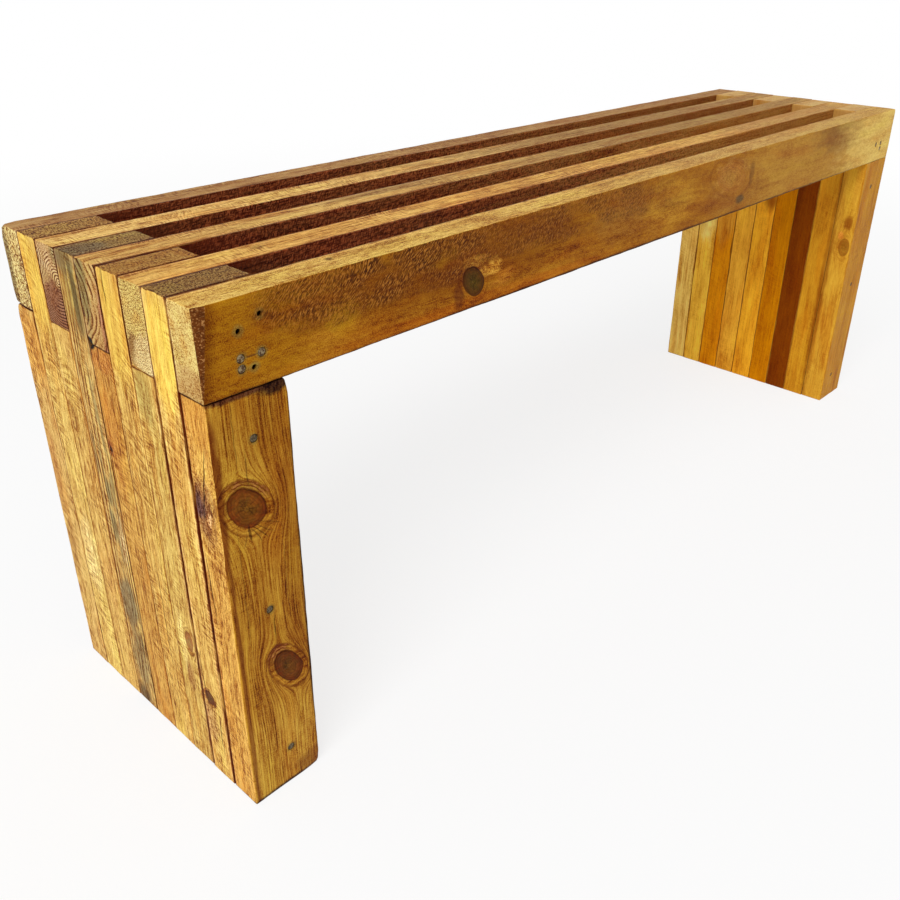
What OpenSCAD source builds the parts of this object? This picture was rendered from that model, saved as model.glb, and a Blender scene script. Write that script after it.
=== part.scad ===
// Slatted bench of reclaimed softwood boards, laminated face to face in nine layers.
// Odd layers are a seat slat on edge that stands on a short leg board at each end.
// Even layers are two tall leg boards, whose tops fill the gaps between the slats.
// X runs along the bench, Y across it and Z up. The origin is on the floor, under the middle.

/* [Bench] */
// Length of the bench, over the outer faces of the legs
bench_l = 1290; // [700:10:1800]
// Height of the seat above the floor
bench_h = 495; // [350:5:700]

/* [Boards] */
// Thickness of every board
board_t = 35; // [32:0.5:42]
// Height of a seat slat, which stands on edge
slat_w = 76; // [66:1:110]
// Width of a leg board, along the bench
leg_w = 76; // [66:1:110]
// Glue line between one layer and the next
glue_line = 0.2; // [0.1:0.05:0.5]
// Bevel along the eased arrises
arris = 1; // [0.5:0.1:2]
// Radius of the worn corners on the two outer layers, seen from the front
corner_r = 4; // [2:0.5:8]

/* [Worn end of the front slat] */
// Length of the wane along the top of the slat
wane_l = 11; // [5:0.5:20]
// Depth of the wane at the end of the slat
wane_d = 2.5; // [1:0.5:5]

/* [Nails] */
// Length of a nail, which goes through one board and well into the next
nail_l = 60; // [50:1:62]
// Diameter of the shank
nail_d = 3.4; // [2.5:0.1:4.5]
// Diameter of the head
head_d = 7.4; // [5:0.1:7.8]
// Thickness of the head
head_t = 1.4; // [0.8:0.1:2.5]
// Depth of the head's top below the board's face
head_set = 0.3; // [0:0.1:1]
// Length of the tapered point
point_l = 5; // [3:0.5:8]
// Radial clearance round a nail in its hole
nail_fit = 0.05; // [0.02:0.01:0.1]

/* [Nail pattern] */
// Distance of the first and last leg nails from the ends of a short leg board
leg_nail_inset = 42; // [25:1:60]
// Offset of the even layers' leg nails from the middle of the board
leg_nail_zigzag = 17; // [12:1:22]
// Distance of the odd layers' lap nails from the end of the bench
lap_nail_in = 36; // [25:1:38]
// Distance between the odd layers' lap nails, along the bench
lap_nail_pitch = 19; // [15:1:22]
// Height of the odd layers' lap nails above the underside of the slat
lap_nail_up = 27; // [22:1:32]
// Distance of the even layers' lap nails from the edges of the lap
lap_nail_edge = 19; // [14:1:22]
// Distance of the third nail on the front face below its neighbour
third_nail_drop = 8.5; // [8:0.5:12]

/* [Old nail holes in the front slat] */
// Diameter of an old nail hole
old_hole_d = 4.6; // [2:0.1:5]
// Depth of an old nail hole
old_hole_depth = 16; // [5:1:25]

/* [Hidden] */
$fn = 48;
slats = 5;
layers = 2 * slats - 1;
leg_nails = 3;
pitch = board_t + glue_line;
bench_w = layers * board_t + (layers - 1) * glue_line;
under_h = bench_h - slat_w;
tip_d = 0.8;
tip_room = 1;
cut_past = 1;

// Old nail holes, each as distance in from the left end and height above the slat's underside
old_holes = [[56, 58], [36, 49], [47, 17]];

// How far each leg nail of the front face stands in from the middle of its board, from the lowest up
front_nail_shift = [7, 0, 2];

// Colours of the oiled wood, from pale to dark, and of the nails
straw = [0.82, 0.66, 0.38];
gold = [0.84, 0.62, 0.25];
honey = [0.76, 0.53, 0.20];
amber = [0.64, 0.41, 0.12];
orange = [0.70, 0.40, 0.13];
russet = [0.45, 0.20, 0.06];
umber = [0.48, 0.36, 0.20];
olive = [0.52, 0.46, 0.30];
steel = [0.52, 0.51, 0.49];

slat_colours = [amber, honey, gold, straw, umber];
short_colours = [[honey, straw, orange, gold, orange], [gold, russet, honey, amber, honey]];
tall_colours = [[gold, gold, olive, gold], [honey, orange, gold, gold]];

sides = ["left", "right"];

// The right end is the left end's mirror image.
function end_of(side) = side == "left" ? 0 : 1;

// Layer 1 is the front one. A slat and its short boards share a layer, and tall boards lie between.
function slat_layer(i) = 2 * i - 1;
function tall_layer(i) = 2 * i;
function is_slat_layer(layer) = layer % 2 == 1;
function is_outer(layer) = layer == 1 || layer == layers;
function front_y(layer) = (layer - 1) * pitch - bench_w / 2;

// Where the nails of a layer go: distance in from the end of the bench, and height above the floor.
function leg_nail_z(i) = leg_nail_inset + i * (under_h - 2 * leg_nail_inset) / (leg_nails - 1);
function leg_nail_x(layer, i) =
    leg_w / 2 + (layer == 1 ? front_nail_shift[i]
        : is_slat_layer(layer) ? 0
        : i % 2 == 0 ? -leg_nail_zigzag : leg_nail_zigzag);
function leg_sites(layer) = [for (i = [0 : leg_nails - 1]) [leg_nail_x(layer, i), leg_nail_z(i)]];
function low_lap_sites() =
    [for (i = [0, 1]) [lap_nail_in + i * lap_nail_pitch, under_h + lap_nail_up]];
function high_lap_sites() =
    [for (x = [lap_nail_edge, leg_w - lap_nail_edge]) [x, bench_h - lap_nail_edge]];
function lap_sites(layer) = is_slat_layer(layer) ? low_lap_sites() : high_lap_sites();
function third_site() = [[lap_nail_in, under_h + lap_nail_up - third_nail_drop]];
function face_sites() = concat(lap_sites(1), third_site(), leg_sites(1));
function sites(layer) = layer == 1 ? face_sites() : concat(lap_sites(layer), leg_sites(layer));

// A rectangle from the origin with its corners cut at 45 degrees
module bevelled(w, h, c) {
    polygon([[c, 0], [w - c, 0], [w, c], [w, h - c], [w - c, h], [c, h], [0, h - c], [0, c]]);
}

// A rectangle from the origin with its corners rounded
module rounded(w, h, r) {
    translate([r, 0])
        square([w - 2 * r, h]);
    translate([0, r])
        square([w, h - 2 * r]);
    for (x = [r, w - r], z = [r, h - r])
        translate([x, z])
            circle(r);
}

// A board of one layer, l long in X and h high in Z, with every arris eased.
// The outer layers have worn round corners in the front view.
module board(layer, l, h) {
    translate([0, front_y(layer), 0])
        intersection() {
            translate([0, board_t, 0])
                rotate([90, 0, 0])
                    linear_extrude(board_t)
                        if (is_outer(layer))
                            rounded(l, h, corner_r);
                        else
                            bevelled(l, h, arris);
            linear_extrude(h)
                bevelled(l, board_t, arris);
            rotate([90, 0, 90])
                linear_extrude(l)
                    bevelled(board_t, h, arris);
        }
}

// Runs from a face towards +Y: a cylinder of diameter d and length l
module along_y(d, l) {
    rotate([-90, 0, 0])
        cylinder(d = d, h = l);
}

// A nail driven towards +Y, with its head just under the plane y = 0
module nail() {
    translate([0, head_set, 0]) {
        along_y(head_d, head_t);
        along_y(nail_d, nail_l - point_l);
        translate([0, nail_l - point_l, 0])
            rotate([-90, 0, 0])
                cylinder(d1 = nail_d, d2 = tip_d, h = point_l);
    }
}

// The hole that a nail leaves, with its head pocket open to the face
module nail_hole() {
    translate([0, -cut_past, 0])
        along_y(head_d + 2 * nail_fit, cut_past + head_set + head_t + nail_fit);
    along_y(nail_d + 2 * nail_fit, head_set + nail_l + tip_room);
}

// Puts its children at each site of the list, on the front face of a layer.
// They are placed for the left end, and mirrored to the right end.
module at_sites(side, layer, site_list) {
    mirror([end_of(side), 0, 0])
        for (site = site_list)
            translate([site[0] - bench_l / 2, front_y(layer), site[1]])
                children();
}

// Every nail hole that reaches a layer at one end: its own and those of the layer in front
module nail_holes(side, layer) {
    if (layer < layers)
        at_sites(side, layer, sites(layer))
            nail_hole();
    if (layer > 1)
        at_sites(side, layer - 1, sites(layer - 1))
            nail_hole();
}

// The corner that the wane takes off: everything beyond a plane that meets the front slat's
// three edges at wane_l along, wane_d in and the underside
module wane() {
    out = [-1 / wane_l, -1 / wane_d, 1 / slat_w];
    yaw = atan2(out[1], out[0]);
    rise = atan2(out[2], norm([out[0], out[1]]));
    translate([wane_l - bench_l / 2, front_y(1), bench_h])
        rotate([0, -rise, yaw])
            translate([0, -slat_w, -2 * slat_w])
                cube([wane_l, 2 * slat_w, 4 * slat_w]);
}

module seat_slat(i) {
    layer = slat_layer(i);
    color(slat_colours[i - 1])
        difference() {
            translate([-bench_l / 2, 0, under_h])
                board(layer, bench_l, slat_w);
            for (side = sides)
                nail_holes(side, layer);
            if (layer == 1) {
                wane();
                for (hole = old_holes)
                    translate([hole[0] - bench_l / 2, front_y(1) - cut_past, under_h + hole[1]])
                        along_y(old_hole_d, old_hole_depth + cut_past);
            }
        }
}

// A leg board at one end, h high
module leg_board(side, layer, h) {
    difference() {
        mirror([end_of(side), 0, 0])
            translate([-bench_l / 2, 0, 0])
                board(layer, leg_w, h);
        nail_holes(side, layer);
    }
}

module short_board(side, i) {
    color(short_colours[end_of(side)][i - 1])
        leg_board(side, slat_layer(i), under_h);
}

module tall_board(side, i) {
    color(tall_colours[end_of(side)][i - 1])
        leg_board(side, tall_layer(i), bench_h);
}

// The nails that show on the front of the bench
module face_nails(side) {
    color(steel)
        at_sites(side, 1, face_sites())
            nail();
}

// The hidden nails through each lap of slat and tall board
module lap_nails(side) {
    color(steel)
        for (layer = [2 : layers - 1])
            at_sites(side, layer, lap_sites(layer))
                nail();
}

// The hidden nails through the leg boards below the seat
module leg_nails(side) {
    color(steel)
        for (layer = [2 : layers - 1])
            at_sites(side, layer, leg_sites(layer))
                nail();
}

for (i = [1 : slats])
    seat_slat(i);
for (side = sides, i = [1 : slats])
    short_board(side, i);
for (side = sides, i = [1 : slats - 1])
    tall_board(side, i);
for (side = sides) {
    face_nails(side);
    lap_nails(side);
    leg_nails(side);
}
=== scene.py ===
"""An outdoor bench of reclaimed softwood boards, nailed together face to face in nine layers.

X runs along the bench from its left end, Y from the front to the back and Z up. Shapes are in
metres. Wood is described in millimetres, in the same frame.
"""

import math
import random
from dataclasses import dataclass
from dataclasses import field

import bmesh
import bpy
from mathutils import Matrix
from mathutils import Vector
from mathutils import noise


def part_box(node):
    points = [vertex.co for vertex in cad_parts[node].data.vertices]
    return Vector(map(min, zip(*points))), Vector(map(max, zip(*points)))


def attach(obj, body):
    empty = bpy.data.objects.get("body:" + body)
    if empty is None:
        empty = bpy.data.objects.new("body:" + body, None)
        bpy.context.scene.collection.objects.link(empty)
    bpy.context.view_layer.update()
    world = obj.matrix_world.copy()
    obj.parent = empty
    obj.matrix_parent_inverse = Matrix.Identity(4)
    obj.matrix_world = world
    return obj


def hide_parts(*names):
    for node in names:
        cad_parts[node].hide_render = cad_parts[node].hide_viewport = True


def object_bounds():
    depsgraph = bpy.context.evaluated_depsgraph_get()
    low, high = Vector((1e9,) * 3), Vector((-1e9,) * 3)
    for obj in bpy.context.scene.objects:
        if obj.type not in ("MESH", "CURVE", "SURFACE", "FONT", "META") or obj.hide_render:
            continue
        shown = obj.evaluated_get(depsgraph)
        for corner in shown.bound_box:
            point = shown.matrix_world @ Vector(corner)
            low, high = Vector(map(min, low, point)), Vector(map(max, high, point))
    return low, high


MM = 0.001
ALONG, ACROSS, UP = 0, 1, 2

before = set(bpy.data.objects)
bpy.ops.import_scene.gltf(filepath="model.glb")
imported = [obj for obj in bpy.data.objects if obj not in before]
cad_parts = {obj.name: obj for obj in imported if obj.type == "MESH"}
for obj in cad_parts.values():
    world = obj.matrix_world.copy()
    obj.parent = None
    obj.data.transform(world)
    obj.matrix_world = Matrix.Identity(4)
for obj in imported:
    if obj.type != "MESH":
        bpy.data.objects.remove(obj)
cad_low, cad_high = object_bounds()
SEAT_HEIGHT = cad_high.z / MM
LEFT, RIGHT = cad_low.x / MM, cad_high.x / MM
FRONT, BACK = cad_low.y / MM, cad_high.y / MM
UNDER_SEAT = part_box("seat_slat_1")[0].z / MM
LEG_DEPTH = (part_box("left_leg_short_1")[1].x - cad_low.x) / MM


def add_object(name, data):
    """An object of the scene with the given mesh, lamp or camera."""
    made = bpy.data.objects.new(name, data)
    bpy.context.scene.collection.objects.link(made)
    return made


def mesh_from(bm, name):
    mesh = bpy.data.meshes.new(name)
    bm.to_mesh(mesh)
    bm.free()
    return mesh


# Camera, light and floor

CAMERA_PLACE = (-0.963, -0.7176, 0.7257)
CAMERA_HEADING = 42.76
CAMERA_DIP = 27.08
CAMERA_ROLL = 0.69
CAMERA_LENS = 37.25
CAMERA_SHIFT = (-0.0201, -0.0353)
FLOOR_WHITENESS = 0.78


def make_camera():
    """The photograph's viewpoint: close to the left front corner, a little above the seat."""
    camera = add_object("camera", bpy.data.cameras.new("camera"))
    level = Matrix.Rotation(math.radians(CAMERA_HEADING - 90), 4, "Z")
    tilt = Matrix.Rotation(math.radians(90 - CAMERA_DIP), 4, "X")
    roll = Matrix.Rotation(math.radians(CAMERA_ROLL), 4, "Z")
    camera.matrix_world = Matrix.Translation(CAMERA_PLACE) @ level @ tilt @ roll
    camera.data.lens = CAMERA_LENS
    camera.data.shift_x, camera.data.shift_y = CAMERA_SHIFT
    camera.data.clip_start = 0.01
    bpy.context.scene.camera = camera


def make_softbox(name, place, aim, size, power):
    """A square area lamp that faces a point."""
    lamp = bpy.data.lights.new(name, "AREA")
    lamp.shape = "SQUARE"
    lamp.size = size
    lamp.energy = power
    box = add_object(name, lamp)
    facing = (Vector(aim) - Vector(place)).to_track_quat("-Z", "Y")
    box.matrix_world = Matrix.Translation(place) @ facing.to_matrix().to_4x4()


def make_world(level):
    """Even light of the given level, and plain white where the camera or a gloss sees past the floor."""
    world = bpy.data.worlds.new("studio")
    bpy.context.scene.world = world
    world.use_nodes = True
    tree = world.node_tree
    tree.nodes.clear()
    strength = level + seen_directly(tree) * (1 - level)
    light = add_node(tree, "ShaderNodeBackground", {}, {"Color": (1, 1, 1, 1), "Strength": strength})
    add_node(tree, "ShaderNodeOutputWorld", {}, {"Surface": light})


def seen_directly(tree):
    """1 for what the camera sees, directly or in a gloss, and 0 for light on its way to a surface."""
    kinds = ("Is Camera Ray", "Is Glossy Ray", "Is Transmission Ray")
    camera, gloss, glass = (add_node(tree, "ShaderNodeLightPath", {}, {}, output=kind) for kind in kinds)
    return camera.most(gloss).most(glass)


def make_floor():
    """A plain pale floor that keeps a soft shadow and fades to white far from the bench."""
    bm = bmesh.new()
    bmesh.ops.create_grid(bm, x_segments=1, y_segments=1, size=60)
    mesh = mesh_from(bm, "floor")
    floor = add_object("floor", mesh)
    material = new_material("pale_floor")
    tree = material.node_tree
    where = add_node(tree, "ShaderNodeTexCoord", {}, {}, output="Object")
    far_off = add_node(tree, "ShaderNodeVectorMath", {"operation": "LENGTH"}, [where], output=1)
    whiteness = FLOOR_WHITENESS + far_off.step(1.0, 3.0) * (1 - FLOOR_WHITENESS)
    painted = add_node(tree, "ShaderNodeBsdfDiffuse", {}, {"Color": (0.9, 0.9, 0.9, 1)})
    white = add_node(tree, "ShaderNodeEmission", {}, {"Color": (1, 1, 1, 1), "Strength": 1.0})
    surface = add_node(tree, "ShaderNodeMixShader", {}, [seen_directly(tree) * whiteness, painted, white])
    add_node(tree, "ShaderNodeOutputMaterial", {}, {"Surface": surface})
    mesh.materials.append(material)


# Tools for shaders


class Signal:
    """A node's output. Arithmetic on it adds Math nodes."""

    def __init__(self, tree, socket):
        self.tree = tree
        self.socket = socket

    def maths(self, operation, *values):
        return add_node(self.tree, "ShaderNodeMath", {"operation": operation}, list(values))

    def __add__(self, other):
        return self.maths("ADD", self, other)

    def __radd__(self, other):
        return self.maths("ADD", other, self)

    def __sub__(self, other):
        return self.maths("SUBTRACT", self, other)

    def __rsub__(self, other):
        return self.maths("SUBTRACT", other, self)

    def __mul__(self, other):
        return self.maths("MULTIPLY", self, other)

    def __rmul__(self, other):
        return self.maths("MULTIPLY", other, self)

    def __truediv__(self, other):
        return self.maths("DIVIDE", self, other)

    def __rtruediv__(self, other):
        return self.maths("DIVIDE", other, self)

    def __abs__(self):
        return self.maths("ABSOLUTE", self)

    def least(self, other):
        return self.maths("MINIMUM", self, other)

    def most(self, other):
        return self.maths("MAXIMUM", self, other)

    def root(self):
        return self.maths("SQRT", self)

    def fraction(self):
        return self.maths("FRACT", self)

    def step(self, low, high):
        """0 at low and 1 at high, with a smooth rise between; low may be the higher one."""
        if low > high:
            return 1 - self.step(high, low)
        return add_node(
            self.tree,
            "ShaderNodeMapRange",
            {"interpolation_type": "SMOOTHSTEP"},
            {"Value": self, "From Min": low, "From Max": high},
        )


def add_node(tree, kind, settings, inputs, output=0):
    """A node with its settings made first, then its sockets, by place or by name."""
    made = tree.nodes.new(kind)
    for name, value in settings.items():
        if name == "stops":
            set_ramp(made.color_ramp, value)
        else:
            setattr(made, name, value)
    pairs = enumerate(inputs) if isinstance(inputs, list) else inputs.items()
    for name, value in pairs:
        if isinstance(value, Signal):
            tree.links.new(value.socket, made.inputs[name])
        else:
            made.inputs[name].default_value = value
    return Signal(tree, made.outputs[output]) if made.outputs else None


def set_ramp(ramp, stops):
    """Grey stops, each a place and a level."""
    for place, level in stops[1:-1]:
        ramp.elements.new(place)
    for element, (place, level) in zip(ramp.elements, stops):
        element.position = place
        element.color = (level, level, level, 1)


def new_material(name):
    """A material with an empty tree."""
    material = bpy.data.materials.new(name)
    material.use_nodes = True
    material.node_tree.nodes.clear()
    return material


def paint(red, green, blue):
    """A colour as it looks on a screen, from 0 to 255, as the linear one that a shader takes."""
    def linear(value):
        part = value / 255
        return part / 12.92 if part <= 0.04045 else ((part + 0.055) / 1.055) ** 2.4
    return (linear(red), linear(green), linear(blue), 1)


def mix(tree, first, second, share, blend="MIX"):
    """Colour first, with its share of colour second laid over it."""
    return add_node(
        tree,
        "ShaderNodeMix",
        {"data_type": "RGBA", "blend_type": blend, "clamp_factor": True},
        {0: share, 6: first, 7: second},
        output=2,
    )


# How the wood of each board looks


@dataclass
class Knot:
    """A branch that the saw cut through, which runs along one row axis.

    rings is how far its collar spreads the grain, in radii, and swirl how strongly the collar shows.
    shade darkens the collar on the side that shade_at gives, in degrees.
    """
    place: tuple
    radius: float
    axis: int = ACROSS
    stretch: float = 1.1
    lean: float = 0.0
    core: tuple = (132, 76, 18)
    rings: float = 1.4
    swirl: float = 1.0
    bark: float = 1.0
    heart: float = 0.94
    shade: float = 0.8
    shade_at: float = 60


@dataclass
class Wash:
    """A soft patch of another colour, with its centre and its reach along each row axis.

    ragged is how uneven its border is, torn how rough the wood in it, and flat the part at full strength.
    """
    place: tuple
    reach: tuple
    colour: tuple
    strength: float = 0.8
    ragged: float = 0.9
    torn: float = 0.0
    face: str = ""
    flat: float = 0.45


@dataclass
class Crack:
    """A dark split along the grain, with its middle, its length and its width."""
    place: tuple
    length: float
    width: float = 0.8
    lean: float = 0.0
    dark: float = 0.9


@dataclass
class Look:
    """One board's wood. Colours are as on a screen, and lengths are in millimetres.

    edge, wide and end colour the three pairs of faces. Growth rings stand ring apart round a pith that
    lies off the board's middle and drifts along the grain, and rings is how strongly they show on each
    pair. The next eight are strengths: fine fibre, threads, streaks, blotches, mottling, warm areas,
    saw marks and pores. speck is the size of a pore. The seed makes every board's patterns its own.
    """
    edge: tuple
    wide: tuple = (190, 130, 50)
    end: tuple = (150, 100, 50)
    ring: float = 3.0
    pith: tuple = (-70, 40)
    drift: tuple = (0.01, 0.02)
    rings: tuple = (0.3, 0.4, 0.5)
    fibre: float = 1.0
    thread: float = 1.0
    streak: float = 1.0
    blotch: float = 1.0
    mottle: float = 1.0
    warm: float = 0.5
    saw: float = 1.0
    speckle: float = 1.0
    speck: float = 1.0
    contrast: float = 1.0
    vein: tuple = ()
    hatched: bool = False
    inner_faces: tuple = ()
    golden: float = 1.0
    wane: tuple = ()
    # The next two are strengths: the painted shade line under the seat, and the pale arrises, partly wear and
    # partly painted highlight
    seam: float = 0.3
    rim_wear_and_highlight: float = 0.4
    knots: list = field(default_factory=list)
    washes: list = field(default_factory=list)
    cracks: list = field(default_factory=list)
    seed: float = 0.0


WINE = (128, 54, 24)
NAIL_STAIN = (118, 98, 44)
# A dark brown for painted shade lines under the front slat and round the front of the left leg
SHADE_BROWN = (58, 30, 14)
SHORT_END = (190, 150, 90)
TALL_END = (206, 166, 100)


def nail_stains(places):
    """The grey halo that iron leaves in the wood round each nail and old nail hole."""
    halo = (6.2, 4, 6.2)
    return [Wash((LEFT + x, FRONT, z), halo, NAIL_STAIN, 0.6, ragged=0.8) for x, z in places]


def front_wash(along, up, length, height, colour, strength, **more):
    """A wash on the front face."""
    return Wash((along, FRONT, up), (length, 20, height), colour, strength, face="wide", **more)


def side_wash(across, up, width, height, colour, strength, **more):
    """A wash on the outer side of the left leg."""
    return Wash((LEFT, across, up), (5, width, height), colour, strength, face="edge", **more)


def inner_wash(across, up, width, height, colour, strength, **more):
    """A wash on the inner side of the right leg."""
    return Wash((RIGHT - LEG_DEPTH, across, up), (5, width, height), colour, strength, face="edge", **more)


def end_wash(across, up, width, height, colour, strength, **more):
    """A wash on the left end of a slat."""
    return Wash((LEFT, across, up), (4, width, height), colour, strength, face="end", **more)


def far_board(edge, end, **more):
    """A board of the right leg, which is smoother than the left one and wiped in broad soft patches."""
    shared = {"wide": (180, 120, 40), "contrast": 0.45, "blotch": 2.2, "fibre": 0.6, "saw": 0.4}
    return Look(edge=edge, end=end, **{**shared, **more})


def slot_end_shade(across):
    """Painted shade that dulls the face of a tall right board, at the end of its slot."""
    return Wash((RIGHT - LEG_DEPTH, across, 470), (5, 36, 46), (190, 140, 74), 0.95, ragged=0.3, flat=0.8)


# Places of nails and old nail holes, in from the left end and up from the floor, then the radius
# and depth of a nail head's pocket and of an old hole
FACE_NAILS = [(36, 446), (55, 446), (36, 437.5), (45, 42), (38, 209.5), (40, 377)]
OLD_HOLES = [(56, 477), (36, 468), (47, 436)]
POCKET = (3.95, 1.6)
OLD_HOLE = (2.35, 12)

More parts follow.
